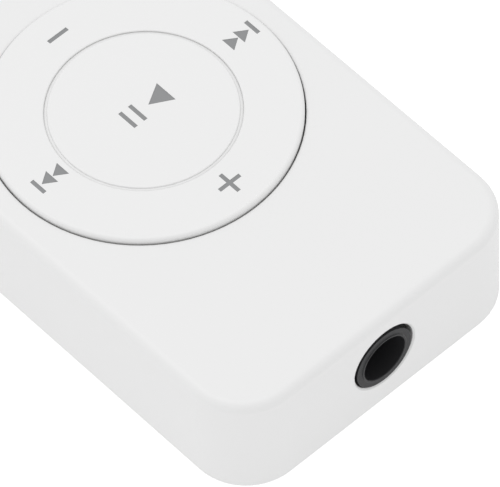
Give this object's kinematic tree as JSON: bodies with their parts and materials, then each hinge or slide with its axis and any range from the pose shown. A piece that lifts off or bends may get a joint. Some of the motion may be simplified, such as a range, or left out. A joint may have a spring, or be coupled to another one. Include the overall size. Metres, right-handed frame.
{
  "type": "digital audio player",
  "caption": "Stick-shaped pocket audio player with a round tilting control pad on its face, a headphone jack at one end and a capped data plug at the other.",
  "frame": {"origin": "middle of the flat back face, under the middle of the player's length and width with its cap on", "axes": "+X to the right of the control pad, +Y along the length to the headphone jack's end, +Z out of the face that carries the pad"},
  "size_m": [0.025, 0.084, 0.0092],
  "materials": {
    "case_white": "satin",
    "pad_white": "satin",
    "slider_grey": "satin",
    "frame_plastic": "moulded",
    "mark_grey": "painted",
    "board_green": "solder mask",
    "screw_steel": "plated",
    "chip_black": "moulded",
    "can_metal": "plated",
    "coil_ferrite": "sintered",
    "capacitor_tan": "ceramic",
    "lamp_clear": "clear",
    "light_clear": "frosted clear",
    "film_clear": "film",
    "jack_black": "moulded",
    "contact_metal": "plated",
    "plug_steel": "plated",
    "tongue_white": "moulded",
    "contact_gold": "gold plated",
    "switch_black": "moulded",
    "cell_wrap": "foil pouch",
    "foam_grey": "foam",
    "lead_red": "insulation",
    "lead_black": "insulation",
    "dome_steel": "sheet"
  },
  "bodies": {
    "casing": {"audio_processor": "chip_black", "back_cover": "case_white", "battery": "cell_wrap", "battery_foam": "foam_grey", "battery_guard_board": "board_green", "battery_lead_negative": "lead_black", "battery_lead_positive": "lead_red", "board_screws": "screw_steel", "capacitors": "capacitor_tan", "crystal": "can_metal", "dome_film": "film_clear", "front_housing": "case_white", "jack_body": "jack_black", "jack_ring_contact": "contact_metal", "jack_sleeve_contact": "contact_metal", "jack_tip_contact": "contact_metal", "light_pipe": "light_clear", "main_board": "board_green", "memory_chip": "chip_black", "next_dome": "dome_steel", "play_dome": "dome_steel", "power_coil": "coil_ferrite", "power_switch": "switch_black", "previous_dome": "dome_steel", "resistors": "chip_black", "status_lamp": "lamp_clear", "usb_contacts": "contact_gold", "usb_shell": "plug_steel", "usb_tongue": "tongue_white", "volume_down_dome": "dome_steel", "volume_up_dome": "dome_steel"},
    "pivot_frame": {"pivot_frame": "frame_plastic"},
    "control_ring": {"control_ring": "pad_white", "next_icon": "mark_grey", "previous_icon": "mark_grey", "volume_up_icon": "mark_grey", "volume_down_icon": "mark_grey"},
    "play_button": {"play_button": "pad_white", "play_pause_icon": "mark_grey"},
    "power_slider": {"power_slider": "slider_grey", "switch_lever": "switch_black"},
    "usb_cap": {"usb_cap": "case_white"}
  },
  "joints": [
    {"name": "volume_tilt", "type": "hinge", "parent": "casing", "child": "pivot_frame", "pos_m": [0, 0.01925, 0.007], "axis": [1, 0, 0], "range_deg": [-1.8, 1.8], "stiffness_Nm_per_rad": 0.2, "deforming": ["volume_up_dome", "volume_down_dome"]},
    {"name": "track_tilt", "type": "hinge", "parent": "pivot_frame", "child": "control_ring", "pos_m": [0, 0.01925, 0.007], "axis": [0, 1, 0], "range_deg": [-1.8, 1.8], "stiffness_Nm_per_rad": 0.2, "deforming": ["next_dome", "previous_dome"]},
    {"name": "play_press", "type": "slide", "parent": "control_ring", "child": "play_button", "axis": [0, 0, -1], "range_m": [0, 0.00025], "stiffness_N_per_m": 2000, "deforming": ["play_dome"]},
    {"name": "power_slide", "type": "slide", "parent": "casing", "child": "power_slider", "axis": [0, 1, 0], "range_m": [0, 0.002]},
    {"name": "cap_pull", "type": "slide", "parent": "casing", "child": "usb_cap", "axis": [0, -1, 0], "range_m": [0, 0.02]}
  ]
}
